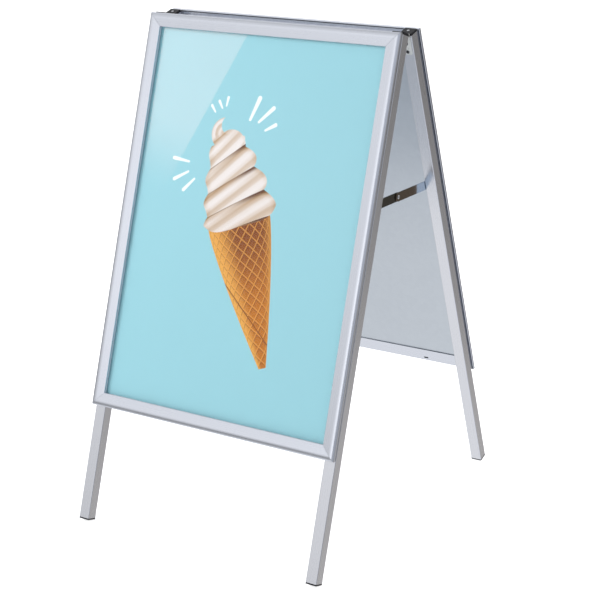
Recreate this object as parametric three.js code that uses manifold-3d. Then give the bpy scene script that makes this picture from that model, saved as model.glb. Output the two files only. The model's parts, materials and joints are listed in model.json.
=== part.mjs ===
// A free-standing double-sided sandwich board: two mitred aluminium snap frames, each on two
// rectangular tube legs, hinged along the top and held open by a folding flat-bar stay on
// each side.
// Millimetres. +X is to the right of the front panel, -Y is the front, +Z is up, and the
// origin is on the ground in the middle of the footprint.
//
// Each panel is built in its own frame, whose origin is on the fold axis: x runs across the
// panel, z up along its legs and -y out of its face. "depth" below is measured along -y.

import * as THREE from 'three';
import { mergeVertices } from 'three/addons/utils/BufferGeometryUtils.js';
import Module from 'manifold-3d';

const wasm = await Module();
wasm.setup();

// Driving dimensions
const LEAN = THREE.MathUtils.degToRad(18.2);    // each panel leans this far from upright when open
const GAP = 0.3;                                // clearance between touching pieces
const LEG_SPAN = 640;                           // across the outer sides of a panel's two legs
const LEG = { width: 27, depth: 25 };           // tube, outside
const LEG_WALL = 1.5;
const LEG_CORNER = 1.6;                         // outside corner radius
const LEG_END = 1154.1;                         // fold axis to the foot's end, along the leg
const AXIS_TO_LEG = 5;                          // fold axis to the legs' inner faces
const TOP_CAP = { top: 3, skirt: 2, plug: 18 }; // above and below the fold axis, and the plug
const FOOT_CAP = { thickness: 3, plug: 18 };

const FRAME_WIDTH = 644;                        // outside of the snap frame
const FRAME_HEIGHT = 891;
const FRAME_TOP = 0.5;                          // fold axis down to the frame's top edge
const MITRE_GAP = 0.15;                         // trimmed off each rail at its mitre
const BACK_PANEL = { width: 617, height: 864, depth: 2.1, thickness: 0.7 };
const POSTER = { width: 594, height: 841, depth: 3.1, thickness: 0.3 };
const COVER = { width: 600, height: 847, depth: 3.7, thickness: 0.7 };
const CORNER = { reach: 60, inset: 5.2, width: 7, depth: 5.9, thickness: 2.5 };
const DRAIN_SLOT = { x: 197, inset: 13.6, length: 12, radius: 2 };

const HINGE = { leaf: 20, length: 45, thickness: 2, bore: 2.3, pin: 2, rim: 1.2, knuckle: 6.4, corner: 5 };
const HINGE_SCREWS = [19.3, 38.5];              // fold axis to the leaf's screw holes
const SCREW_HOLE = 2.1;

const STAY_HEIGHT = 750;                        // centre of the open stay above the ground
const STAY = { width: 20, thickness: 2, hole: 2.6 };
const RIVET = { shank: 2.3, head: 4.5, headHeight: 1.3 };
const SPACER_RADIUS = 4;

// Rail sections: inward distance from the frame's outer edge, then depth from the rail's back.
const BASE_SECTION = [
  [8.5, 0], [36, 0], [36, 1.8], [10.2, 1.8], [10.2, 5.6], [4.9, 5.6], [4.9, 10.2], [4.6, 10.5],
  [3.3, 10.5], [3, 10.2], [3, 4], [8.5, 4],
];
const SNAP_SECTION = [
  [0.8, 5.6], [1.7, 5.6], [1.7, 10.9], [2.5, 12.1], [5.2, 13.4], [7.8, 14.1], [10.4, 14.3],
  [13, 14.1], [28.5, 12], [28.9, 4.8], [30.8, 4.8], [30.8, 8], [29.8, 8.8], [29.8, 12.5],
  [30.5, 13], [30.4, 13.4], [13.2, 15.7], [10.4, 15.9], [7.6, 15.7], [5.1, 15.2], [2.9, 14.4],
  [1.3, 13.5], [0.4, 12.5], [0, 11.4], [0, 6.4],
];

// Places that follow from them
const LEG_X = (LEG_SPAN - LEG.width) / 2;
const LEG_DEPTH = AXIS_TO_LEG + LEG.depth / 2;        // fold axis to the legs' centre line
const FRAME_DEPTH = AXIS_TO_LEG + LEG.depth + GAP;    // fold axis to the rails' backs
const AXIS_HEIGHT = LEG_END * Math.cos(LEAN) - AXIS_TO_LEG * Math.sin(LEAN);
const STAY_DOWN = (AXIS_HEIGHT - STAY_HEIGHT + LEG_DEPTH * Math.sin(LEAN)) / Math.cos(LEAN);
const STAY_REACH = STAY_DOWN * Math.sin(LEAN) + LEG_DEPTH * Math.cos(LEAN);
const LEG_INNER_X = LEG_X - LEG.width / 2;
const REAR_ARM_X = LEG_INNER_X - GAP - STAY.thickness / 2;
const FRONT_ARM_X = REAR_ARM_X - STAY.thickness - GAP;

const ALUMINIUM = { color: 0xc9ccd2, roughness: 0.35, metalness: 0.9 };
const STEEL = { color: 0xb4bac0, roughness: 0.4, metalness: 0.9 };
const PLASTIC = { color: 0x17181b, roughness: 0.5, metalness: 0 };
const PRINT = { color: 0xa3d8e6, roughness: 0.6, metalness: 0 };
const CLEAR = { color: 0xe6f2f6, roughness: 0.1, metalness: 0, transparent: true, opacity: 0.3 };

const board = new THREE.Group();

// ---- Geometry helpers ----

function toManifold(geometry) {
  const bare = geometry.clone();
  bare.deleteAttribute('normal');
  bare.deleteAttribute('uv');
  const merged = mergeVertices(bare, 1e-4);
  return new wasm.Manifold(new wasm.Mesh({
    numProp: 3,
    vertProperties: new Float32Array(merged.attributes.position.array),
    triVerts: new Uint32Array(merged.index.array),
  }));
}

function fromManifold(solid) {
  const mesh = solid.getMesh();
  const geometry = new THREE.BufferGeometry();
  geometry.setAttribute('position', new THREE.BufferAttribute(mesh.vertProperties, 3));
  geometry.setIndex(new THREE.BufferAttribute(mesh.triVerts, 1));
  geometry.computeVertexNormals();
  return geometry;
}

function joined(...geometries) {
  return fromManifold(geometries.map(toManifold).reduce((sum, solid) => sum.add(solid)));
}

function cut(geometry, ...tools) {
  const solids = tools.map(toManifold);
  return fromManifold(solids.reduce((rest, tool) => rest.subtract(tool), toManifold(geometry)));
}

function box(width, depth, height, x, y, z) {
  return new THREE.BoxGeometry(width, depth, height).translate(x, y, z);
}

// A cylinder along X between two stations.
function rodX(radius, from, to, segments = 20) {
  return new THREE.CylinderGeometry(radius, radius, to - from, segments)
    .rotateZ(-Math.PI / 2)
    .translate((from + to) / 2, 0, 0);
}

// A solid turned about the X axis from [x, radius] steps, closed on the axis at both ends.
function turnedX(steps, segments = 16) {
  const profile = [[steps[0][0], 0], ...steps, [steps.at(-1)[0], 0]];
  return new THREE.LatheGeometry(profile.map(([x, radius]) => new THREE.Vector2(radius, x)), segments)
    .rotateZ(-Math.PI / 2);
}

function outline(points) {
  return new THREE.Shape(points.map(([x, y]) => new THREE.Vector2(x, y)));
}

function roundHole(x, y, radius) {
  return new THREE.Path().absarc(x, y, radius, 0, Math.PI * 2, true);
}

function plate(shape, thickness) {
  return new THREE.ExtrudeGeometry(shape, { depth: thickness, bevelEnabled: false, curveSegments: 10 });
}

// A rail of the given section along X, its outer edge at z = 0 and its back at y = 0, with
// both ends cut to a 45 degree mitre.
function mitredRail(section, length) {
  const geometry = plate(outline(section), 1);
  const position = geometry.attributes.position;
  for (let i = 0; i < position.count; i += 1) {
    const inward = position.getX(i);
    const depth = position.getY(i);
    const end = length / 2 - inward - MITRE_GAP;
    position.setXYZ(i, position.getZ(i) < 0.5 ? -end : end, -depth, inward);
  }
  geometry.computeVertexNormals();
  return geometry;
}

function add(parent, name, geometry, finish) {
  const mesh = new THREE.Mesh(geometry, new THREE.MeshStandardMaterial(finish));
  mesh.name = name;
  parent.add(mesh);
  return mesh;
}

// ---- Legs and their caps ----

// The leg's section, inset by an amount from its outside.
function legSection(inset, Kind = THREE.Shape) {
  const radius = LEG_CORNER - inset;
  const x = LEG.width / 2 - LEG_CORNER;
  const y = LEG.depth / 2 - LEG_CORNER;
  const path = new Kind();
  for (const [cornerX, cornerY, quarter] of [[x, y, 0], [-x, y, 1], [-x, -y, 2], [x, -y, 3]]) {
    path.absarc(cornerX, cornerY, radius, quarter * Math.PI / 2, (quarter + 1) * Math.PI / 2);
  }
  return path;
}

function column(shape, top, bottom) {
  return new THREE.ExtrudeGeometry(shape, { depth: top - bottom, bevelEnabled: false, curveSegments: 3 })
    .translate(0, 0, bottom);
}

// A leg tube about its own centre line, with the stay rivet's hole through its inner wall.
function legTube(towardMiddle) {
  const shape = legSection(0);
  shape.holes.push(legSection(LEG_WALL, THREE.Path));
  const tube = column(shape, -TOP_CAP.skirt - GAP, -LEG_END + FOOT_CAP.thickness + GAP);
  const hole = rodX(STAY.hole, -LEG.width / 4, LEG.width / 4)
    .translate(towardMiddle * LEG.width / 2, 0, -STAY_DOWN);
  return cut(tube, hole);
}

function plug(from, to) {
  const play = 2 * (LEG_WALL + GAP);
  return box(LEG.width - play, LEG.depth - play, Math.abs(to - from), 0, 0, (from + to) / 2);
}

function topCap() {
  const lid = column(legSection(0), TOP_CAP.top, -TOP_CAP.skirt);
  return joined(lid, plug(-TOP_CAP.skirt + 1, -TOP_CAP.skirt - TOP_CAP.plug));
}

function footCap() {
  const sole = column(legSection(0), -LEG_END + FOOT_CAP.thickness, -LEG_END);
  return joined(sole, plug(-LEG_END + 1, -LEG_END + FOOT_CAP.thickness + FOOT_CAP.plug));
}

// ---- Hinges ----

// Half of a butt hinge: a plate screwed to the leg's inner face, curled round the pin.
function hingeLeaf(hasMiddleKnuckle) {
  const half = HINGE.leaf / 2;
  const clear = AXIS_TO_LEG - GAP;              // the knuckles' outer radius
  const waist = HINGE.knuckle / 2 + (hasMiddleKnuckle ? 0 : GAP);
  const relief = -clear - GAP;
  const top = hasMiddleKnuckle
    ? [[half, relief], [waist, relief], [waist, 0], [-waist, 0], [-waist, relief], [-half, relief]]
    : [[half, 0], [waist, 0], [waist, relief], [-waist, relief], [-waist, 0], [-half, 0]];
  const shape = outline([...top, [-half, -HINGE.length + HINGE.corner]]);
  shape.absarc(-half + HINGE.corner, -HINGE.length + HINGE.corner, HINGE.corner, Math.PI, 1.5 * Math.PI);
  shape.absarc(half - HINGE.corner, -HINGE.length + HINGE.corner, HINGE.corner, 1.5 * Math.PI, 2 * Math.PI);
  HINGE_SCREWS.forEach((down) => shape.holes.push(roundHole(0, -down, SCREW_HOLE)));
  const flat = plate(shape, HINGE.thickness).rotateX(Math.PI / 2).translate(0, -clear + HINGE.thickness, 0);
  const knuckles = hasMiddleKnuckle ? [[-waist, waist]] : [[-half, -waist], [waist, half]];
  const barrels = knuckles.map(([from, to]) => rodX(clear, from, to));
  return cut(joined(flat, ...barrels), rodX(HINGE.bore, -half - 1, half + 1));
}

function hingePin() {
  const end = HINGE.leaf / 2 + GAP;
  const rim = HINGE.pin + HINGE.rim;
  return turnedX([
    [-end - HINGE.rim, rim], [-end, rim], [-end, HINGE.pin],
    [end, HINGE.pin], [end, rim], [end + HINGE.rim, rim],
  ]);
}

// ---- Snap frame ----

// The four rails, each as a turn of the bottom rail about the frame's centre, with the corner
// at its negative end.
const ACROSS = { length: FRAME_WIDTH, reach: FRAME_HEIGHT / 2 };
const UPRIGHT = { length: FRAME_HEIGHT, reach: FRAME_WIDTH / 2 };
const RAILS = [
  { name: 'bottom', corner: ['bottom', 'left'], turn: 0, ...ACROSS },
  { name: 'left', corner: ['top', 'left'], turn: Math.PI / 2, ...UPRIGHT },
  { name: 'top', corner: ['top', 'right'], turn: Math.PI, ...ACROSS },
  { name: 'right', corner: ['bottom', 'right'], turn: -Math.PI / 2, ...UPRIGHT },
];

function baseRail({ name, length }) {
  const rail = mitredRail(BASE_SECTION, length);
  if (name !== 'bottom') return rail;
  const { x, inset, radius } = DRAIN_SLOT;
  const centre = DRAIN_SLOT.length / 2 - radius;
  const shape = new THREE.Shape()
    .absarc(centre, 0, radius, -Math.PI / 2, Math.PI / 2)
    .absarc(-centre, 0, radius, Math.PI / 2, Math.PI * 1.5);
  const slots = [-x, x].map((place) => plate(shape, 6).rotateX(Math.PI / 2).translate(place, 3, inset));
  return cut(rail, ...slots);
}

// The L-shaped key inside a corner of the base rails.
function cornerKey() {
  const { reach, width, thickness } = CORNER;
  const shape = outline([[0, 0], [reach, 0], [reach, width], [width, width], [width, reach], [0, reach]]);
  return plate(shape, thickness).rotateX(Math.PI / 2);
}

function sheet({ width, height, depth, thickness }) {
  return box(width, thickness, height, 0, -depth - thickness / 2, 0);
}

// ---- One panel ----

// turned is 0 for the front panel and half a turn about Z for the rear one.
function panel(prefix, turned, hasMiddleKnuckle) {
  const standing = new THREE.Group();
  standing.position.z = AXIS_HEIGHT;
  standing.rotation.z = turned;
  board.add(standing);
  const leaning = new THREE.Group();
  leaning.rotation.x = -LEAN;
  standing.add(leaning);
  const handed = (name) => (turned === 0 ? name : { left: 'right', right: 'left' }[name] ?? name);

  for (const [side, sign] of [['left', -1], ['right', 1]]) {
    const leg = new THREE.Group();
    leg.position.set(sign * LEG_X, -LEG_DEPTH, 0);
    leaning.add(leg);
    add(leg, `${prefix}_leg_${handed(side)}`, legTube(-sign), ALUMINIUM);
    add(leg, `${prefix}_top_cap_${handed(side)}`, topCap(), PLASTIC);
    add(leg, `${prefix}_foot_cap_${handed(side)}`, footCap(), PLASTIC);
    const leaf = add(leaning, `${prefix}_hinge_leaf_${handed(side)}`, hingeLeaf(hasMiddleKnuckle), STEEL);
    leaf.position.x = sign * LEG_X;
  }

  const frame = new THREE.Group();
  frame.position.set(0, -FRAME_DEPTH, -FRAME_TOP - FRAME_HEIGHT / 2);
  leaning.add(frame);
  for (const rail of RAILS) {
    const edge = new THREE.Group();
    edge.rotation.y = rail.turn;
    frame.add(edge);
    const side = handed(rail.name);
    const base = add(edge, `${prefix}_base_rail_${side}`, baseRail(rail), ALUMINIUM);
    base.position.z = -rail.reach;
    const snapGeometry = mitredRail(SNAP_SECTION, rail.length);
    const snap = add(edge, `${prefix}_snap_rail_${side}`, snapGeometry, ALUMINIUM);
    snap.position.z = -rail.reach;
    const [level, end] = rail.corner;
    const key = add(edge, `${prefix}_corner_key_${level}_${handed(end)}`, cornerKey(), STEEL);
    key.position.set(CORNER.inset - rail.length / 2, -CORNER.depth, CORNER.inset - rail.reach);
  }
  add(frame, `${prefix}_back_panel`, sheet(BACK_PANEL), STEEL);
  add(frame, `${prefix}_poster`, sheet(POSTER), PRINT);
  add(frame, `${prefix}_cover_sheet`, sheet(COVER), CLEAR);
}

// ---- Stays ----

// A flat bar from its leg pivot at the origin to the centre pivot at y = reach.
function stayArm() {
  const round = STAY.width / 2;
  const shape = new THREE.Shape();
  shape.absarc(0, 0, round, Math.PI, 2 * Math.PI);
  shape.absarc(0, STAY_REACH, round, 0, Math.PI);
  shape.holes.push(roundHole(0, 0, STAY.hole), roundHole(0, STAY_REACH, STAY.hole));
  return plate(shape, STAY.thickness).rotateY(Math.PI / 2).translate(-STAY.thickness / 2, 0, 0);
}

// The rivet that holds an arm to its leg, for the leg on the right, with x from the leg's
// inner face: a head on the arm, a spacer, and a blind head inside the tube.
function endRivet(armX) {
  const armInner = armX - LEG_INNER_X - STAY.thickness / 2 - GAP;
  const armOuter = armInner + STAY.thickness + 2 * GAP;
  const insideWall = LEG_WALL + GAP;
  const spacer = armOuter < -GAP - 0.5 ? [[armOuter, SPACER_RADIUS], [-GAP, SPACER_RADIUS]] : [];
  return turnedX([
    [armInner - RIVET.headHeight, RIVET.head - 1], [armInner - 0.5, RIVET.head], [armInner, RIVET.head],
    [armInner, RIVET.shank],
    ...(spacer.length ? [[armOuter, RIVET.shank], ...spacer, [-GAP, RIVET.shank]] : []),
    [insideWall, RIVET.shank], [insideWall, RIVET.head], [insideWall + 1, RIVET.head],
  ]);
}

// The rivet at the middle of the stay: its head is outside the rear arm and its shank stops
// short of the front one.
function centreRivet() {
  const outer = STAY.thickness / 2 + GAP;
  return turnedX([
    [-STAY.thickness / 2 - GAP / 2, RIVET.shank], [outer, RIVET.shank],
    [outer, RIVET.head], [outer + 0.5, RIVET.head], [outer + RIVET.headHeight, RIVET.head - 1],
  ]);
}

function stay(side, sign) {
  for (const [end, away, armX] of [['front', -1, FRONT_ARM_X], ['rear', 1, REAR_ARM_X]]) {
    const pivot = new THREE.Group();
    pivot.position.set(0, away * STAY_REACH, STAY_HEIGHT);
    board.add(pivot);
    const arm = add(pivot, `stay_arm_${end}_${side}`, stayArm(), STEEL);
    arm.position.x = sign * armX;
    arm.rotation.z = away > 0 ? Math.PI : 0;
    const rivet = add(pivot, `stay_end_rivet_${end}_${side}`, endRivet(armX), STEEL);
    rivet.position.x = sign * LEG_INNER_X;
    rivet.rotation.z = sign > 0 ? 0 : Math.PI;
  }
  const rivet = add(board, `stay_centre_rivet_${side}`, centreRivet(), STEEL);
  rivet.position.set(sign * REAR_ARM_X, 0, STAY_HEIGHT);
  rivet.rotation.z = sign > 0 ? 0 : Math.PI;
}

// ---- The whole board ----

panel('front', 0, false);
panel('rear', Math.PI, true);
for (const [side, sign] of [['left', -1], ['right', 1]]) {
  const pin = add(board, `hinge_pin_${side}`, hingePin(), STEEL);
  pin.position.set(sign * LEG_X, 0, AXIS_HEIGHT);
  stay(side, sign);
}

export default board;
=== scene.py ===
"""The looks of a snap-frame sandwich board: its surfaces, the printed poster under its clear
cover, its springs, screws and rivet heads, and the studio around it. Metres and radians, with
+X to the right of the front panel, -Y in front of it, and +Z up."""

import json
import math

import bmesh
import bpy
from mathutils import Matrix, Vector


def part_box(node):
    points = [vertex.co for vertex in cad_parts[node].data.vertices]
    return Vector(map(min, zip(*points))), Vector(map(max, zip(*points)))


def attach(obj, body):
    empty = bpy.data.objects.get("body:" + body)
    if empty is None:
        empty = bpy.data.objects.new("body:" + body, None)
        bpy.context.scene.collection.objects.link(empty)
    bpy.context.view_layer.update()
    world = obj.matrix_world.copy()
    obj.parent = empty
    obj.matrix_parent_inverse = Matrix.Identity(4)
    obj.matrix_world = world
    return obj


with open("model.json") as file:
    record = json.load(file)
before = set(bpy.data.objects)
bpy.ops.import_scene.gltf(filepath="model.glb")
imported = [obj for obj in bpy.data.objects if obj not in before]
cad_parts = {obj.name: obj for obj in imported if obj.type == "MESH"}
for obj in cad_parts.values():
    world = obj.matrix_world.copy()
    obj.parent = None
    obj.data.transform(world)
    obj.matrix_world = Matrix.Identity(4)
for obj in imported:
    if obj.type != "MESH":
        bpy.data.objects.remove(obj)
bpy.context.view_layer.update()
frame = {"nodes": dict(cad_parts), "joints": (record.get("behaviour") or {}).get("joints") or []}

NODES = frame["nodes"]
JOINTS = {joint["name"]: joint for joint in frame["joints"]}
MM = 0.001

# ---- Places worked out from the frame ----

FOLD = Vector(JOINTS["fold"]["pos_m"])
UP_PANEL = Vector(JOINTS["snap_front_right_pivot"]["axis"])
LEAN = math.atan2(UP_PANEL.y, UP_PANEL.z)


def panel_matrix(end):
    """Panel coordinates to the row frame: x across the panel, -y out of its face and z up
    along its legs, from the fold axis."""
    turn = Matrix.Rotation(0 if end == "front" else math.pi, 4, "Z")
    return Matrix.Translation(FOLD) @ turn @ Matrix.Rotation(-LEAN, 4, "X")


def panel_box(node, end):
    """The lowest and highest corners of a node in its panel's coordinates."""
    to_panel = panel_matrix(end).inverted()
    points = [to_panel @ vertex.co for vertex in NODES[node].data.vertices]
    low = Vector(min(point[i] for point in points) for i in range(3))
    high = Vector(max(point[i] for point in points) for i in range(3))
    return low, high


SHEET_TOP = panel_box("front_poster", "front")[1].z

# ---- The camera ----

AZIMUTH = math.radians(30.08)
ELEVATION = math.radians(18.08)
DISTANCE = 3.3344
TARGET = Vector((0.2788, 0, 0.516))
LENS = 91.28
SHIFT_X = -0.15475


def make_camera():
    data = bpy.data.cameras.new("camera")
    data.sensor_width = 36
    data.lens = LENS
    data.shift_x = SHIFT_X
    data.clip_end = 100
    camera = bpy.data.objects.new("camera", data)
    back = Vector((
        math.sin(AZIMUTH) * math.cos(ELEVATION),
        -math.cos(AZIMUTH) * math.cos(ELEVATION),
        math.sin(ELEVATION),
    ))
    camera.location = TARGET + DISTANCE * back
    camera.rotation_euler = back.to_track_quat("Z", "Y").to_euler()
    bpy.context.scene.collection.objects.link(camera)
    bpy.context.scene.camera = camera
    return camera


CAMERA = make_camera()

# ---- Node trees ----


class Field:
    """A number that varies over a surface, built up from Math nodes by ordinary arithmetic."""

    def __init__(self, tree, socket):
        self.tree = tree
        self.socket = socket

    def op(self, operation, *others, clamp=False):
        node = self.tree.node("Math", operation=operation, use_clamp=clamp)
        for i, value in enumerate((self, *others)):
            self.tree.put(node.inputs[i], value)
        return Field(self.tree, node.outputs[0])

    def __add__(self, other):
        return self.op("ADD", other)

    def __sub__(self, other):
        return self.op("SUBTRACT", other)

    def __mul__(self, other):
        return self.op("MULTIPLY", other)

    def __truediv__(self, other):
        return self.op("DIVIDE", other)

    def __neg__(self):
        return self.op("MULTIPLY", -1)

    def __rsub__(self, other):
        return self.op("MULTIPLY_ADD", -1, other)

    def rises(self, low, high):
        """0 below low and 1 above high, with a smooth step between."""
        node = self.tree.node("MapRange", interpolation_type="SMOOTHSTEP")
        for name, value in (("Value", self), ("From Min", low), ("From Max", high)):
            self.tree.put(node.inputs[name], value)
        return Field(self.tree, node.outputs["Result"])

    def falls(self, low, high):
        """1 below low and 0 above high."""
        return 1 - self.rises(low, high)

    def shape(self, points):
        """This number sent through a ramp of (position, value) points, from 0 to 1."""
        node = self.tree.node("ValToRGB")
        ramp = node.color_ramp
        ramp.interpolation = "EASE"
        while len(ramp.elements) < len(points):
            ramp.elements.new(1)
        for element, (position, value) in zip(ramp.elements, points):
            element.position = position
            element.color = (value, value, value, 1)
        self.tree.put(node.inputs["Fac"], self)
        return Field(self.tree, node.outputs["Color"])


class Tree:
    """A node tree with short ways to make nodes, links and arithmetic."""

    def __init__(self, owner):
        owner.use_nodes = True
        self.owner = owner
        self.tree = owner.node_tree
        self.tree.nodes.clear()

    def node(self, kind, inputs=None, **settings):
        node = self.tree.nodes.new("ShaderNode" + kind)
        for name, value in settings.items():
            setattr(node, name, value)
        for name, value in (inputs or {}).items():
            self.put(node.inputs[name], value)
        return node

    def put(self, socket, value):
        if isinstance(value, Field):
            self.tree.links.new(value.socket, socket)
        elif isinstance(value, bpy.types.NodeSocket):
            self.tree.links.new(value, socket)
        else:
            socket.default_value = value

    def parts(self, vector):
        node = self.node("SeparateXYZ", {"Vector": vector})
        return [Field(self, node.outputs[name]) for name in "XYZ"]

    def mix(self, factor, first, second):
        """The colour first where factor is 0 and second where it is 1."""
        node = self.node("Mix", data_type="RGBA")
        self.put(node.inputs[0], factor)
        self.put(node.inputs[6], first)
        self.put(node.inputs[7], second)
        return node.outputs[2]

    def noise(self, vector, scale, detail=2, roughness=0.5):
        node = self.node("TexNoise", {"Vector": vector, "Scale": scale, "Detail": detail,
                                      "Roughness": roughness})
        return Field(self, node.outputs[0])

    def panel_place(self, end, stretch=(1, 1, 1)):
        """The place on a panel in its own coordinates, so that it rides with the panel."""
        coordinates = self.node("TexCoord").outputs["Object"]
        to_panel = panel_matrix(end).inverted()
        turned = self.node("Mapping", {"Vector": coordinates, "Location": to_panel.translation,
                                       "Rotation": to_panel.to_euler()})
        return self.node("Mapping", {"Vector": turned.outputs[0], "Scale": stretch}).outputs[0]

    def bump(self, height, strength, distance):
        return self.node("Bump", {"Height": height, "Strength": strength, "Distance": distance}).outputs[0]

    def surface(self, shader):
        output = self.node("OutputMaterial")
        self.tree.links.new(shader, output.inputs["Surface"])
        return self.owner


def new_tree(name):
    return Tree(bpy.data.materials.new(name))


def colour(red, green, blue):
    """A linear RGBA colour from 0 to 255 screen values, by the sRGB curve."""
    shares = (value / 255 for value in (red, green, blue))
    linear = [share / 12.92 if share < 0.04045 else ((share + 0.055) / 1.055) ** 2.4 for share in shares]
    return (*linear, 1)


# ---- Materials ----

GRAIN_LONG = 5          # features per metre along an extrusion's die lines
GRAIN_FINE = 1500       # and across them
COVER_IOR = 1.48


def extruded_aluminium(name, end, along, tone, roughness):
    """Satin anodised aluminium with faint die lines along one panel axis, 0 for x or 2 for z."""
    tree = new_tree(name)
    stretch = [GRAIN_FINE] * 3
    stretch[along] = GRAIN_LONG
    lines = tree.noise(tree.panel_place(end, stretch), 1, detail=3)
    cloud = tree.noise(tree.panel_place(end), 9, detail=3)
    base = tree.mix(lines * 0.5 + cloud * 0.5, [c * 0.94 for c in tone[:3]] + [1], tone)
    principled = tree.node("BsdfPrincipled", {
        "Base Color": base,
        "Metallic": 1.0,
        "Roughness": (lines - 0.5) * 0.06 + (cloud - 0.5) * 0.05 + roughness,
        "Normal": tree.bump(lines, 0.05, 0.00003),
    })
    return tree.surface(principled.outputs[0])


def galvanised_sheet(name, end):
    """Thin zinc-coated sheet, rolled along x, with a faint spangle."""
    tree = new_tree(name)
    rolling = tree.noise(tree.panel_place(end, (8, 900, 900)), 1, detail=4, roughness=0.65)
    spangle = tree.node("TexVoronoi", {"Vector": tree.panel_place(end), "Scale": 90}).outputs["Color"]
    flake = tree.parts(spangle)[0]
    cloud = tree.noise(tree.panel_place(end, (1.2, 1, 3)), 3, detail=4)
    shade = rolling * 0.35 + flake * 0.1 + cloud * 0.55
    base = tree.mix(shade, (0.53, 0.57, 0.62, 1), (0.70, 0.745, 0.79, 1))
    principled = tree.node("BsdfPrincipled", {
        "Base Color": base,
        "Metallic": 1.0,
        "Roughness": rolling * 0.16 + cloud * 0.08 + 0.26,
        "Normal": tree.bump(rolling + flake * 0.2, 0.2, 0.00008),
    })
    return tree.surface(principled.outputs[0])


def plated_steel(name, tone, roughness, metallic=1.0, reflection_band=None):
    """Zinc-plated pressings and bar, with small scuffs. Past the y given first in the last argument,
    the base colour turns to the colour given second there: a painted reflection of the surroundings."""
    tree = new_tree(name)
    place = tree.node("TexCoord").outputs["Object"]
    scuffs = tree.noise(place, 420, detail=5, roughness=0.7)
    cloud = tree.noise(place, 38, detail=3)
    base = tree.mix(cloud * 0.6 + scuffs * 0.4, [c * 0.86 for c in tone[:3]] + [1], tone)
    # Painted reflection: past a given y, the base colour is swapped for a colour that stands in for what the
    # metal mirrors there.
    if reflection_band:
        past = (tree.parts(place)[1] + cloud * 0.004).rises(reflection_band[0], reflection_band[0] + 0.008)
        base = tree.mix(past, base, reflection_band[1])
    principled = tree.node("BsdfPrincipled", {
        "Base Color": base,
        "Metallic": metallic,
        "Roughness": (scuffs - 0.5) * 0.2 + (cloud - 0.5) * 0.08 + roughness,
        "Normal": tree.bump(scuffs, 0.1, 0.00008),
    })
    return tree.surface(principled.outputs[0])


def moulded_plastic(name):
    """Black caps with a fine spark-eroded texture, a little greyer where they are scuffed."""
    tree = new_tree(name)
    place = tree.node("TexCoord").outputs["Object"]
    grain = tree.noise(place, 2600, detail=2)
    scuffs = tree.noise(place, 160, detail=5, roughness=0.7)
    base = tree.mix(scuffs.rises(0.5, 0.75), (0.005, 0.005, 0.008, 1), (0.016, 0.016, 0.02, 1))
    principled = tree.node("BsdfPrincipled", {
        "Base Color": base,
        "Roughness": grain * 0.14 + scuffs * 0.14 + 0.36,
        "Specular IOR Level": 0.3,
        "Normal": tree.bump(grain, 0.25, 0.00008),
    })
    return tree.surface(principled.outputs[0])


def clear_cover(name):
    """Clear PVC: what is behind it shows through, and its outer skin mirrors the studio."""
    tree = new_tree(name)
    fresnel = Field(tree, tree.node("Fresnel", {"IOR": COVER_IOR}).outputs[0])
    inside = Field(tree, tree.node("NewGeometry").outputs["Backfacing"])
    mirrored = fresnel * (1 - inside)
    clear = tree.node("BsdfTransparent", {"Color": (0.985, 0.993, 0.995, 1)})
    gloss = tree.node("BsdfGlossy", {"Color": (1, 1, 1, 1), "Roughness": 0.0})
    share = tree.node("MixShader", {0: mirrored, 1: clear.outputs[0], 2: gloss.outputs[0]})
    return tree.surface(share.outputs[0])


# ---- The poster's print ----

# Places on the sheet: metres to the right of its middle and down from its top edge.
CONE_MOUTH = Vector((-0.001, 0.415))
CONE_TIP = Vector((0.113, 0.708))
CONE_HALF = 0.0805                  # half of the cone's width at its mouth
CONE_POINT = 0.345                  # how far down it would come to a point
CONE_END = 0.313                    # and where it stops
WAFFLE = (0.0295, 0.026)            # spacing of the waffle's ridges along and across the cone
SEAM = (1.86, 0.227)                # slope and start of the edge of the wafer's wrap
SWIRL_HALF = 0.099                  # half of the swirl's width at its foot
SWIRL_PITCH = 0.0525                # between turns
FLUTES = 1.45                       # ridges to a turn, from the star nozzle
CROWN = (0.174, 0.007, 0.038)       # the top turn: height, side and radius
HOOK = (0.2065, -0.003, 0.0355)     # the curl on it, less a bite out of its right
BITE = (0.222, 0.012, 0.0205)
SWIRL_TOP = (0.188, 0.19)           # where the turns give way to the crown
SWIRL_TAPER = (0.12, 0.85)          # how the swirl narrows with height, and with height squared
TURN_DEPTH = (0.017, 0.007)         # how far the turns are cut in on the right, and how much less on the left
# How light the cream is across one flute, and across the hook from its edge inwards.
FLUTE_LIGHT = ((0.0, 0.46), (0.2, 0.78), (0.42, 1.0), (0.62, 0.9), (0.85, 0.56), (1.0, 0.46))
HOOK_LIGHT = ((0.0, 0.55), (0.006, 1.0), (0.013, 0.35), (0.02, 0.85), (0.03, 0.4))
CONE_SHIFT = 0.004                  # how far the cone's middle is to the left of the swirl's
CONE_LEAST = 0.009                  # half of its width at its cut-off end, at least
RIDGE_EDGE = (0.1, 0.34)            # where a waffle ridge starts and stops, as sines of the phase
CREASE_EDGE = (0.05, 0.22)          # and the crease beside it, which trails it by this much phase:
CREASE_LAG = 0.13
DASHES = (                          # the brush strokes' ends, and half the width at the first
    ((-0.124, 0.166), (-0.113, 0.179), 0.0034),
    ((-0.106, 0.155), (-0.096, 0.169), 0.0034),
    ((-0.084, 0.145), (-0.086, 0.163), 0.0034),
    ((-0.002, 0.139), (-0.019, 0.187), 0.0054),
    ((0.037, 0.157), (0.004, 0.190), 0.0048),
    ((0.048, 0.192), (0.024, 0.206), 0.0044),
    ((-0.204, 0.290), (-0.163, 0.294), 0.0042),
    ((-0.196, 0.336), (-0.161, 0.316), 0.0042),
    ((-0.167, 0.357), (-0.142, 0.330), 0.0042),
)
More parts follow.
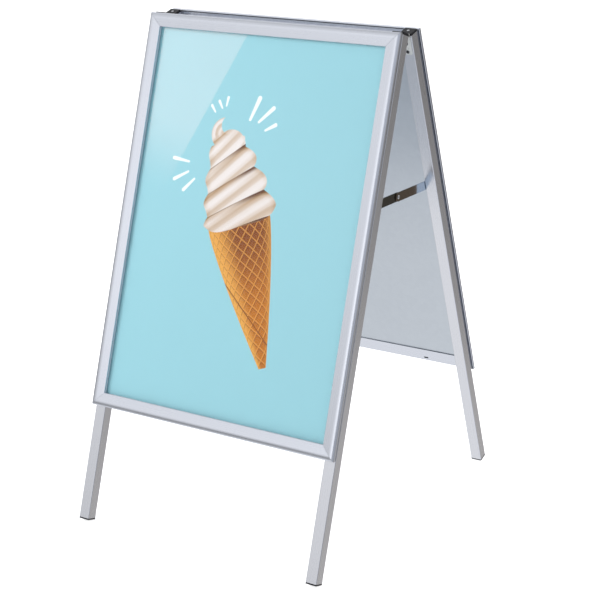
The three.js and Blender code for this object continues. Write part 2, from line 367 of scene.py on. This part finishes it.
SKY = colour(157, 209, 218)
DASH_WHITE = colour(246, 250, 250)
CREAM_LIGHT = colour(240, 230, 225)
CREAM_MID = colour(210, 186, 164)
CREAM_DARK = colour(172, 128, 78)
CREAM_DEEP = colour(92, 46, 10)
WAFFLE_RIDGE = colour(236, 164, 72)
WAFFLE_CELL = colour(194, 114, 20)
WAFFLE_SHADE = colour(124, 58, 0)
WAFFLE_RIM = colour(255, 192, 92)
EDGE = 0.0005                       # width of a printed edge's blur


def dash_distance(across, down, start, end, half):
    """How far a place is from the stroke between two points, less the stroke's half width,
    which tapers from its first end."""
    run = Vector(end) - Vector(start)
    from_x = across - start[0]
    from_y = down - start[1]
    share = (from_x * run.x + from_y * run.y).op("DIVIDE", run.length_squared, clamp=True)
    off_x = from_x - share * run.x
    off_y = from_y - share * run.y
    distance = (off_x * off_x + off_y * off_y).op("SQRT")
    return distance - (1 - share * 0.4) * half


def disc(up, side, place):
    """How far a place is inside a circle given as its height, side and radius."""
    centre_up, centre_side, radius = place
    rise = up - centre_up
    shift = side - centre_side
    return radius - (rise * rise + shift * shift).op("SQRT")


def swirl_layers(up, side):
    """Whether a place is on the soft-serve swirl, its shade from 0 dark to 1 light, and how deep
    it is in the crevice between two turns."""
    left = side.falls(-0.006, 0.006)
    climb = up - side * (up * 1.4 + 0.08) + side * side * 0.5
    within = (climb / SWIRL_PITCH).op("FRACT")
    bulge = (within.op("POWER", left * 1.15 + 0.75) * math.pi).op("SINE")
    envelope = SWIRL_HALF - up * SWIRL_TAPER[0] - up * up * SWIRL_TAPER[1]
    limit = envelope - (1 - bulge) * (TURN_DEPTH[0] - left * TURN_DEPTH[1])
    margin = limit - side.op("ABSOLUTE")
    foot = (side.op("ABSOLUTE") / SWIRL_HALF).op("POWER", 6) * 0.03 - 0.002
    body = margin.rises(-EDGE, EDGE) * (up - foot).rises(-EDGE, EDGE) * up.falls(*SWIRL_TOP)
    crown = disc(up, side, CROWN)
    hook = disc(up, side, HOOK).op("MINIMUM", -disc(up, side, BITE)).op("MINIMUM", 0.016 - side)
    covered = body.op("MAXIMUM", crown.op("MAXIMUM", hook).rises(-EDGE, EDGE))
    flute = ((climb - side * 0.17) / SWIRL_PITCH * FLUTES).op("FRACT")
    ridge = flute.shape(FLUTE_LIGHT)
    on_hook = hook.rises(-EDGE, EDGE) * up.rises(0.2, 0.212)
    horn = disc(up, side, HOOK).shape(HOOK_LIGHT)
    ridge = ridge * (1 - on_hook) + horn * on_hook
    shade = ridge * 0.82 + 0.12 - within.rises(0.55, 1.0) * 0.34 - margin.falls(0.0, 0.016) * 0.18 * body
    shade = shade - up.falls(-0.02, 0.11) * 0.12
    wedge = within.rises(0.78, 0.98) * side.rises(-0.03, 0.05)
    crevice = wedge.op("MAXIMUM", within.rises(0.93, 1.0) * 0.55) * (1 - on_hook) * up.falls(0.17, 0.2)
    return covered, shade, crevice


def cone_layers(up, side):
    """Whether a place is on the wafer cone, its ridges, its shade, how near it is to the rim, and
    the crease beside each ridge."""
    drop = (-up).op("MAXIMUM", 0) / CONE_POINT
    half = ((1 - drop.op("POWER", 1.25)) * CONE_HALF).op("MAXIMUM", CONE_LEAST)
    offset = side + CONE_SHIFT
    reach = offset / half
    edge = (half - offset.op("ABSOLUTE")).rises(-EDGE, EDGE)
    covered = edge * (up + CONE_END).rises(-EDGE, EDGE) * up.falls(0.02, 0.021)
    around = reach.op("MAXIMUM", -1).op("MINIMUM", 1).op("ARCSINE") * half / WAFFLE[1]
    climbing = up / WAFFLE[0]
    ridges = None
    dent = None
    crease = None
    for phase in (climbing + around, climbing - around):
        line = (phase * math.pi).op("SINE").op("ABSOLUTE").falls(*RIDGE_EDGE)
        ridges = line if ridges is None else ridges.op("MAXIMUM", line)
        fall = phase.op("FRACT").rises(0.45, 0.95)
        dent = fall if dent is None else dent + fall
        furrow = ((phase + CREASE_LAG) * math.pi).op("SINE").op("ABSOLUTE").falls(*CREASE_EDGE)
        crease = furrow if crease is None else crease.op("MAXIMUM", furrow)
    rim = reach.falls(-1.0, -0.1) + reach.rises(0.7, 1.1) * 0.6
    seam = up + offset * SEAM[0] + SEAM[1]
    fold = seam.op("ABSOLUTE").falls(0.0012, 0.0036) * up.falls(-0.12, -0.1)
    under_swirl = up.rises(-0.2, 0.0) * (1 - rim)
    shade = under_swirl * 0.85 + dent * 0.14 + fold * 0.8 + up.rises(-0.012, 0.004) * 0.4
    return covered, ridges * (1 - fold), shade, rim * (1 - fold), crease * (1 - ridges)


def printed_poster(name, end):
    """A sheet printed with a soft-serve cone and brush strokes on a plain sky blue."""
    tree = new_tree(name)
    across, _, height = tree.parts(tree.panel_place(end))
    down = SHEET_TOP - height
    axis = (CONE_MOUTH - CONE_TIP).normalized()
    off_x = across - CONE_MOUTH.x
    off_y = down - CONE_MOUTH.y
    up = off_x * axis.x + off_y * axis.y
    side = off_x * -axis.y + off_y * axis.x
    ink = SKY
    on_cone, ridges, cone_shade, rim, crease = cone_layers(up, side)
    wafer = tree.mix(cone_shade.op("MINIMUM", 0.9), WAFFLE_CELL, WAFFLE_SHADE)
    wafer = tree.mix(rim * 0.7, wafer, WAFFLE_RIM)
    wafer = tree.mix(crease * 0.55, wafer, WAFFLE_SHADE)
    wafer = tree.mix(ridges * 0.62, wafer, WAFFLE_RIDGE)
    ink = tree.mix(on_cone, ink, wafer)
    on_swirl, light, crevice = swirl_layers(up, side)
    cream = tree.mix(light.rises(0.0, 0.5), CREAM_DARK, CREAM_MID)
    cream = tree.mix(light.rises(0.4, 0.95), cream, CREAM_LIGHT)
    cream = tree.mix(crevice, cream, CREAM_DEEP)
    ink = tree.mix(on_swirl, ink, cream)
    nearest = None
    for start, finish, half in DASHES:
        distance = dash_distance(across, down, start, finish, half)
        nearest = distance if nearest is None else nearest.op("MINIMUM", distance)
    ink = tree.mix(nearest.falls(-EDGE, EDGE), ink, DASH_WHITE)
    fibres = tree.noise(tree.panel_place(end), 900, detail=3)
    principled = tree.node("BsdfPrincipled", {
        "Base Color": ink,
        "Roughness": fibres * 0.1 + 0.5,
        "Specular IOR Level": 0.15,
        "Normal": tree.bump(fibres, 0.06, 0.00005),
    })
    return tree.surface(principled.outputs[0])


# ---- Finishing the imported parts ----

WELD_DISTANCE = 0.002 * MM
BEVEL_SEGMENTS = 2
BEVEL_ANGLE = math.radians(35)      # edges sharper than this are rounded

def weld_group():
    """A modifier group that joins a part's split corners and drops its stored normals."""
    group = bpy.data.node_groups.new("weld_corners", "GeometryNodeTree")
    group.interface.new_socket("Geometry", in_out="INPUT", socket_type="NodeSocketGeometry")
    group.interface.new_socket("Geometry", in_out="OUTPUT", socket_type="NodeSocketGeometry")
    entry = group.nodes.new("NodeGroupInput")
    leave = group.nodes.new("NodeGroupOutput")
    drop = group.nodes.new("GeometryNodeRemoveAttribute")
    drop.inputs["Name"].default_value = "custom_normal"
    merge = group.nodes.new("GeometryNodeMergeByDistance")
    merge.inputs["Distance"].default_value = WELD_DISTANCE
    smooth = group.nodes.new("GeometryNodeSetShadeSmooth")
    group.links.new(entry.outputs[0], drop.inputs["Geometry"])
    group.links.new(drop.outputs["Geometry"], merge.inputs["Geometry"])
    group.links.new(merge.outputs["Geometry"], smooth.inputs["Geometry"])
    group.links.new(smooth.outputs["Geometry"], leave.inputs[0])
    return group


WELD = weld_group()


def soften(piece, width, weld=True):
    """Small rounded edges, and shading that keeps the flats flat."""
    if weld:
        piece.modifiers.new("weld", "NODES").node_group = WELD
    if width:
        bevel = piece.modifiers.new("edges", "BEVEL")
        bevel.width = width
        bevel.segments = BEVEL_SEGMENTS
        bevel.limit_method = "ANGLE"
        bevel.angle_limit = BEVEL_ANGLE
    normals = piece.modifiers.new("normals", "WEIGHTED_NORMAL")
    normals.weight = 100
    normals.keep_sharp = True


def paint(piece, material):
    piece.data.materials.clear()
    piece.data.materials.append(material)


RAIL_TONE = colour(222, 225, 233)
LEG_TONE = colour(224, 225, 230)
SATIN = 0.28


def finish_panel(end):
    along_x = extruded_aluminium(f"{end}_rail_across", end, 0, RAIL_TONE, SATIN)
    along_z = extruded_aluminium(f"{end}_rail_up", end, 2, RAIL_TONE, SATIN)
    tube = extruded_aluminium(f"{end}_tube", end, 2, LEG_TONE, SATIN)
    for level in ("top", "bottom", "left", "right"):
        finish = along_x if level in ("top", "bottom") else along_z
        for kind, width in (("base", 0.2), ("snap", 0.3)):
            rail = NODES[f"{end}_{kind}_rail_{level}"]
            paint(rail, finish)
            soften(rail, width * MM)
    for side in ("left", "right"):
        paint(NODES[f"{end}_leg_{side}"], tube)
        soften(NODES[f"{end}_leg_{side}"], 0.25 * MM)
        for cap in ("top", "foot"):
            paint(NODES[f"{end}_{cap}_cap_{side}"], PLASTIC)
            soften(NODES[f"{end}_{cap}_cap_{side}"], 0.5 * MM)
        paint(NODES[f"{end}_hinge_leaf_{side}"], HINGE_STEEL)
        soften(NODES[f"{end}_hinge_leaf_{side}"], 0.3 * MM)
        for level in ("top", "bottom"):
            paint(NODES[f"{end}_corner_key_{level}_{side}"], KEY_STEEL)
            soften(NODES[f"{end}_corner_key_{level}_{side}"], 0.3 * MM)
    paint(NODES[f"{end}_back_panel"], galvanised_sheet(f"{end}_sheet", end))
    soften(NODES[f"{end}_back_panel"], 0.15 * MM)
    paint(NODES[f"{end}_poster"], printed_poster(f"{end}_print", end))
    soften(NODES[f"{end}_poster"], 0)
    paint(NODES[f"{end}_cover_sheet"], COVER)
    soften(NODES[f"{end}_cover_sheet"], 0)


def finish_links():
    for side in ("left", "right"):
        paint(NODES[f"hinge_pin_{side}"], RIVET_STEEL)
        soften(NODES[f"hinge_pin_{side}"], 0.3 * MM)
        paint(NODES[f"stay_centre_rivet_{side}"], RIVET_STEEL)
        soften(NODES[f"stay_centre_rivet_{side}"], 0.25 * MM)
        for end in ("front", "rear"):
            paint(NODES[f"stay_arm_{end}_{side}"], STAY_STEEL[end])
            soften(NODES[f"stay_arm_{end}_{side}"], 0.35 * MM)
            paint(NODES[f"stay_end_rivet_{end}_{side}"], RIVET_STEEL)
            soften(NODES[f"stay_end_rivet_{end}_{side}"], 0.25 * MM)


PLASTIC = moulded_plastic("cap_black")
COVER = clear_cover("clear_cover")
HINGE_STEEL = plated_steel("hinge_zinc", (0.86, 0.88, 0.87, 1), 0.42, metallic=0.35)
KEY_STEEL = plated_steel("key_zinc", (0.5, 0.51, 0.53, 1), 0.42)
# The stays' dark brown base colours, and the blue on the far end of the rear arms, are painted reflections of
# the surroundings rather than the steel's own colour.
STAY_STEEL = {
    "front": plated_steel("stay_brown_reflection", (0.1, 0.092, 0.075, 1), 0.2),
    "rear": plated_steel("stay_brown_blue_reflection", (0.2, 0.155, 0.115, 1), 0.2, reflection_band=(0.078, (0.44, 0.52, 0.6, 1))),
}
RIVET_STEEL = plated_steel("rivet_zinc", (0.66, 0.67, 0.69, 1), 0.28)
SCREW_STEEL = plated_steel("screw_black", (0.09, 0.09, 0.1, 1), 0.35)
SPRING_STEEL = plated_steel("spring_steel", (0.42, 0.43, 0.45, 1), 0.3)

finish_panel("front")
finish_panel("rear")
finish_links()

# ---- Screws, rivet heads and springs ----

HEAD_SIDES = 24
HEAD_EDGE = 0.12 * MM
CROSS_MOUTH = 0.24                  # half the width of a driver's cross, as a share of its reach
CROSS_FLOOR = (0.8, 0.18)           # and its reach and half width at its floor, as shares too
CROSS_DEPTH = 0.7                   # mm

def new_piece(name, mesh, body, material):
    data = bpy.data.meshes.new(name)
    bmesh.ops.recalc_face_normals(mesh, faces=mesh.faces)
    mesh.to_mesh(data)
    mesh.free()
    piece = bpy.data.objects.new(name, data)
    bpy.context.scene.collection.objects.link(piece)
    paint(piece, material)
    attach(piece, body)
    return piece


def ring(mesh, radius, height, count):
    turns = (2 * math.pi * i / count for i in range(count))
    return [mesh.verts.new((radius * math.cos(turn), radius * math.sin(turn), height)) for turn in turns]


def band(mesh, lower, upper):
    for i in range(len(lower)):
        j = (i + 1) % len(lower)
        mesh.faces.new((lower[i], lower[j], upper[j], upper[i]))


def cross_outline(mesh, arm, half, height):
    """The corners of a plus sign, anticlockwise."""
    quarter = [(arm, -half), (arm, half), (half, half)]
    corners = []
    for turn in range(4):
        angle = turn * math.pi / 2
        for x, y in quarter:
            corners.append((x * math.cos(angle) - y * math.sin(angle),
                            x * math.sin(angle) + y * math.cos(angle)))
    return [mesh.verts.new((x, y, height)) for x, y in corners]


def add_head(name, place, steps, body, material, cross=0.0):
    """A fastener turned about z from steps of radius and height in mm, bottom to top, and moved
    to a place. cross is the reach of a driver's cross sunk into its top, or 0 for a plain top."""
    mesh = bmesh.new()
    rings = [ring(mesh, radius * MM, height * MM, HEAD_SIDES) for radius, height in steps]
    for lower, upper in zip(rings, rings[1:]):
        band(mesh, lower, upper)
    mesh.faces.new(list(reversed(rings[0])))
    if cross:
        top = steps[-1][1]
        mouth = cross_outline(mesh, cross * MM, cross * CROSS_MOUTH * MM, top * MM)
        reach, half = (cross * share * MM for share in CROSS_FLOOR)
        floor = cross_outline(mesh, reach, half, (top - CROSS_DEPTH) * MM)
        band(mesh, mouth, floor)
        mesh.faces.new(floor)
        rim = []
        for loop in (rings[-1], mouth):
            for i in range(len(loop)):
                pair = (loop[i], loop[(i + 1) % len(loop)])
                rim.append(mesh.edges.get(pair))
        bmesh.ops.triangle_fill(mesh, edges=rim, use_beauty=True)
    else:
        mesh.faces.new(rings[-1])
    mesh.transform(place)
    piece = new_piece(name, mesh, body, material)
    soften(piece, HEAD_EDGE, weld=False)
    return piece


PAN_HEAD = ((1.9, -1.9), (1.9, 0.0), (3.7, 0.0), (3.7, 0.5), (3.3, 1.1), (2.4, 1.5))
CAP_SCREW = ((3.0, 0.05), (3.0, 0.5), (2.6, 1.0), (1.9, 1.3))
RIVET_HEAD = ((4.5, 0.0), (4.5, 0.5), (3.9, 1.0), (2.6, 1.3))
HINGE_SCREWS = (0.0193, 0.0385)     # from the fold axis down each leaf
LEAF_PROUD = 2.3 * MM               # the leaf's outer face, from the leg's
HEAD_CLEAR = 0.1 * MM               # between a stay's arm and its rivet's inner head
TOWARD_FOLD = Matrix.Rotation(-math.pi / 2, 4, "X")     # turns z to panel +y, towards the fold


def add_hinge_screws(end):
    for side in ("left", "right"):
        low, high = panel_box(f"{end}_hinge_leaf_{side}", end)
        leaf_x = (low.x + high.x) / 2
        leaf_face = panel_box(f"{end}_leg_{side}", end)[1].y + LEAF_PROUD
        for number, down in enumerate(HINGE_SCREWS, 1):
            place = panel_matrix(end) @ Matrix.Translation((leaf_x, leaf_face, -down)) @ TOWARD_FOLD
            add_head(f"{end}_hinge_screw_{side}_{number}", place, PAN_HEAD, f"{end}_panel",
                     SCREW_STEEL, cross=1.9)


def add_cap_screws(end):
    for side in ("left", "right"):
        low, high = panel_box(f"{end}_top_cap_{side}", end)
        centre = Vector(((low.x + high.x) / 2, (low.y + high.y) / 2, high.z))
        place = panel_matrix(end) @ Matrix.Translation(centre)
        add_head(f"{end}_cap_screw_{side}", place, CAP_SCREW, f"{end}_panel",
                 RIVET_STEEL, cross=1.5)


def add_stay_heads():
    """The inner head of each stay's middle rivet, on its front arm."""
    for side, sign in (("left", -1), ("right", 1)):
        arm_low, arm_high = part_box(f"stay_arm_front_{side}")
        inner = arm_low.x if sign > 0 else arm_high.x
        rivet_low, rivet_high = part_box(f"stay_centre_rivet_{side}")
        centre = (rivet_low + rivet_high) / 2
        turn = Matrix.Rotation(-sign * math.pi / 2, 4, "Y")
        place = Matrix.Translation((inner - sign * HEAD_CLEAR, centre.y, centre.z)) @ turn
        add_head(f"stay_middle_head_{side}", place, RIVET_HEAD, f"stay_front_{side}",
                 RIVET_STEEL)


# A spring's bent strip, from its foot in the base rail up to where it holds the snap rail, in mm
# inward from the frame's edge and out from its back.
SPRING_PATH = (
    (12.9, 2.3), (11.4, 2.6), (11.0, 4.2), (11.0, 7.0), (11.6, 9.4), (13.2, 11.2), (15.8, 12.0),
    (18.6, 11.9), (21.4, 10.9), (23.6, 9.3),
)
SPRING_WIDTH = 24 * MM
SPRING_ACROSS = (-1, -0.9, 0, 0.9, 1)       # the strip's rows of points, in half widths
SPRING_THICKNESS = 0.5 * MM
SPRING_STEP = 0.5                   # of a rail's half length, from its middle


def frame_middle(end):
    """The middle of a snap frame's back in panel coordinates, and its half width and height."""
    boxes = [panel_box(f"{end}_base_rail_{name}", end) for name in ("top", "bottom", "left", "right")]
    outer = [panel_box(f"{end}_snap_rail_{name}", end) for name in ("top", "bottom", "left", "right")]
    low = Vector(min(corner[0][i] for corner in outer) for i in range(3))
    high = Vector(max(corner[1][i] for corner in outer) for i in range(3))
    back = max(corner[1].y for corner in boxes)
    centre = Vector(((low.x + high.x) / 2, back, (low.z + high.z) / 2))
    return centre, (high.x - low.x) / 2, (high.z - low.z) / 2


def spring_strip(half_length, reach, station):
    """A spring's strip of faces on the bottom rail, at a share of the rail's half length."""
    mesh = bmesh.new()
    rows = []
    for inward, depth in SPRING_PATH:
        rows.append([mesh.verts.new((station * half_length + step * SPRING_WIDTH / 2, -depth * MM,
                                     inward * MM - reach)) for step in SPRING_ACROSS])
    for lower, upper in zip(rows, rows[1:]):
        for i in range(len(lower) - 1):
            mesh.faces.new((lower[i], lower[i + 1], upper[i + 1], upper[i]))
    return mesh


def add_springs(end):
    centre, half_width, half_height = frame_middle(end)
    rails = (("bottom", 0, half_width, half_height), ("left", 90, half_height, half_width),
             ("top", 180, half_width, half_height), ("right", -90, half_height, half_width))
    for name, turn, half_length, reach in rails:
        edge = panel_matrix(end) @ Matrix.Translation(centre) @ Matrix.Rotation(math.radians(turn), 4, "Y")
        for number, station in enumerate((-SPRING_STEP, SPRING_STEP), 1):
            mesh = spring_strip(half_length, reach, station)
            mesh.transform(edge)
            spring = new_piece(f"{end}_spring_{name}_{number}", mesh, f"{end}_panel",
                               SPRING_STEEL)
            strip = spring.modifiers.new("thickness", "SOLIDIFY")
            strip.thickness = SPRING_THICKNESS
            strip.offset = 0
            rounded = spring.modifiers.new("round", "SUBSURF")
            rounded.levels = 1
            rounded.render_levels = 1


add_stay_heads()
for end in ("front", "rear"):
    add_hinge_screws(end)
    add_cap_screws(end)
    add_springs(end)

# ---- The studio ----

FLOOR_HALF = 15
FLOOR_GLOW = 0.4                    # its light on the board
FLOOR_SEEN = 0.4                    # and how much brighter the camera sees it


def make_floor():
    mesh = bpy.data.meshes.new("floor")
    corners = [(-FLOOR_HALF, -FLOOR_HALF, 0), (FLOOR_HALF, -FLOOR_HALF, 0),
               (FLOOR_HALF, FLOOR_HALF, 0), (-FLOOR_HALF, FLOOR_HALF, 0)]
    mesh.from_pydata(corners, [], [(0, 1, 2, 3)])
    floor = bpy.data.objects.new("floor", mesh)
    bpy.context.scene.collection.objects.link(floor)
    tree = new_tree("floor_white")
    seen = Field(tree, tree.node("LightPath").outputs["Is Camera Ray"])
    principled = tree.node("BsdfPrincipled", {
        "Base Color": (0.85, 0.85, 0.85, 1),
        "Roughness": 0.9,
        "Specular IOR Level": 0.1,
        "Emission Color": (1, 1, 1, 1),
        "Emission Strength": seen * FLOOR_SEEN + FLOOR_GLOW,
    })
    paint(floor, tree.surface(principled.outputs[0]))
    floor.visible_glossy = False


# The studio as the metal and the cover mirror it: how bright it is at each height, from
# straight down at 0 to straight up at 1.
STUDIO_HEIGHTS = (
    (0.0, 1.02), (0.105, 0.94), (0.16, 1.1), (0.2, 0.74), (0.27, 0.45), (0.31, 0.62), (0.335, 0.33),
    (0.37, 0.3), (0.43, 0.2),
    (0.5, 0.18), (0.56, 0.26), (0.64, 0.4), (0.72, 0.6), (0.82, 0.74), (0.93, 0.6), (1.0, 0.6),
)
# Each bright area: its brightness all round, from behind at 0 through the left at 0.25 and the
# front at 0.5, and its share at each height.
WINDOW = (                          # in front, and round to the left
    ((0.22, 0.0), (0.305, 0.38), (0.37, 0.55), (0.43, 0.68), (0.45, 0.84), (0.47, 1.25),
     (0.489, 1.25), (0.512, 0.12), (0.55, 0.0)),
    ((0.42, 0.0), (0.5, 0.96), (0.58, 1.0), (0.645, 1.14), (0.69, 0.7), (0.76, 0.24), (0.9, 0.0)),
)
SKYLIGHT = (                        # high up behind, to the left
    ((0.0, 0.6), (0.06, 1.0), (0.18, 1.0), (0.27, 0.0)),
    ((0.68, 0.0), (0.78, 0.42), (0.88, 0.42), (0.96, 0.0)),
)
SIDELIGHT = (                       # to the right
    ((0.53, 0.0), (0.58, 0.25), (0.8, 0.25), (0.86, 0.0)),
    ((0.42, 0.0), (0.5, 1.0), (0.6, 1.0), (0.7, 0.0)),
)
BACKLIGHT = (                       # behind
    ((0.0, 0.4), (0.1, 0.0), (0.8, 0.0), (0.9, 0.62), (1.0, 0.4)),
    ((0.46, 0.0), (0.54, 1.0), (0.7, 1.0), (0.8, 0.2), (0.9, 0.0)),
)
# The glare is one more lamp, which only a perfectly sharp mirror such as the cover sees. It is
# placed by where the camera sees it mirrored in the front cover, as x and down the panel.
GLARE_EDGE = ((-0.056, 0.033), (-0.255, 0.475))     # two places on its straight edge
GLARE_FOOT = (0.21, 0.40)           # how far down the panel it starts to fade, and where it ends
GLARE_ACROSS = -0.25                # where across the panel those are measured
GLARE_TINT = (3.7, 1.6, 1.1)
GLARE_WIDTH = 9                     # degrees from its edge to its far side
GLARE_SHARP = 0.0015                # softness of its edge,
GLARE_SOFT = (-0.02, 0.06)          # of its far side
GLARE_TOP = (0.02, 0.12)            # and of its top, past the top of the panel
COOL_FROM = (-0.1, 0.25)            # the right of the studio is cool between these directions, in
COOL_TO = (1.2, 2.0)                # radians right of the front, with a smooth step at each,
WARM_FROM = (1.8, 2.5)              # and warm beyond these
COOL = (0.93, 0.98, 1.08, 1)
WARM = (1.03, 1.0, 0.97, 1)
PLAIN = (0.99, 1.0, 1.02, 1)


def mirrored_direction(across, down):
    """The way the camera's view of a place on the front cover leaves it."""
    outward = panel_matrix("front").to_3x3() @ Vector((0, -1, 0))
    depth = panel_box("front_cover_sheet", "front")[0].y
    place = panel_matrix("front") @ Vector((across, depth, -down))
    view = (place - CAMERA.location).normalized()
    return view.reflect(outward)


def glare_lamp(parts):
    """How bright the lamp of the glare is in the direction whose x, y and z are given."""

    def toward(vector):
        return parts[0] * vector.x + parts[1] * vector.y + parts[2] * vector.z

    first, second = (mirrored_direction(*place) for place in GLARE_EDGE)
    edge = first.cross(second).normalized()
    if edge.x > 0:
        edge = -edge
    far = Matrix.Rotation(math.radians(-GLARE_WIDTH), 3, "Z") @ edge
    low, high = (mirrored_direction(GLARE_ACROSS, down).z for down in reversed(GLARE_FOOT))
    top = mirrored_direction(GLARE_ACROSS, 0).z
    sides = toward(edge).rises(0, GLARE_SHARP) * toward(far).falls(*GLARE_SOFT)
    return sides * parts[2].rises(low, high) * parts[2].falls(*(top + past for past in GLARE_TOP))


def make_world():
    world = bpy.data.worlds.new("studio")
    bpy.context.scene.world = world
    tree = Tree(world)
    parts = tree.parts(tree.node("TexCoord").outputs["Generated"])
    height = parts[2] * 0.5 + 0.5
    azimuth = parts[0].op("ARCTAN2", -parts[1])
    round_about = azimuth / (2 * math.pi) + 0.5
    room = height.shape(STUDIO_HEIGHTS)
    for all_round, heights in (WINDOW, SKYLIGHT, SIDELIGHT, BACKLIGHT):
        room = room + round_about.shape(all_round) * height.shape(heights)
    tint = tree.mix(azimuth.rises(*COOL_FROM) * azimuth.falls(*COOL_TO), PLAIN, COOL)
    tint = tree.mix(azimuth.rises(*WARM_FROM), tint, WARM)
    ray = tree.node("LightPath")
    seen = Field(tree, ray.outputs["Is Camera Ray"])
    glare = glare_lamp(parts) * Field(tree, ray.outputs["Is Singular Ray"])
    room_light = tree.node("Background", {"Color": tint, "Strength": room})
    glare_light = tree.node("Background", {"Color": (*GLARE_TINT, 1), "Strength": glare})
    backdrop = tree.node("Background", {"Color": (1, 1, 1, 1), "Strength": 1.0})
    both = tree.node("AddShader", {0: room_light.outputs[0], 1: glare_light.outputs[0]})
    shown = tree.node("MixShader", {0: seen, 1: both.outputs[0], 2: backdrop.outputs[0]})
    output = tree.node("OutputWorld")
    tree.tree.links.new(shown.outputs[0], output.inputs["Surface"])


LAMPS = (                           # each lamp's power, and its direction from the board
    ("key", 42, Vector((-0.62, -0.58, 0.62))),
    ("fill", 34, Vector((0.5, 0.7, 0.62))),
)
LAMP_SIZE = 1.6
LAMP_AWAY = 3.2
LAMP_AIM = Vector((0, 0, 0.65))


def make_lamp(name, power, toward):
    data = bpy.data.lights.new(name, "AREA")
    data.energy = power
    data.size = LAMP_SIZE
    data.shape = "DISK"
    lamp = bpy.data.objects.new(name, data)
    lamp.location = LAMP_AIM + LAMP_AWAY * toward.normalized()
    lamp.rotation_euler = toward.to_track_quat("Z", "Y").to_euler()
    lamp.visible_glossy = False
    bpy.context.scene.collection.objects.link(lamp)


make_floor()
make_world()
for lamp in LAMPS:
    make_lamp(*lamp)
bpy.context.scene.view_settings.view_transform = "Standard"
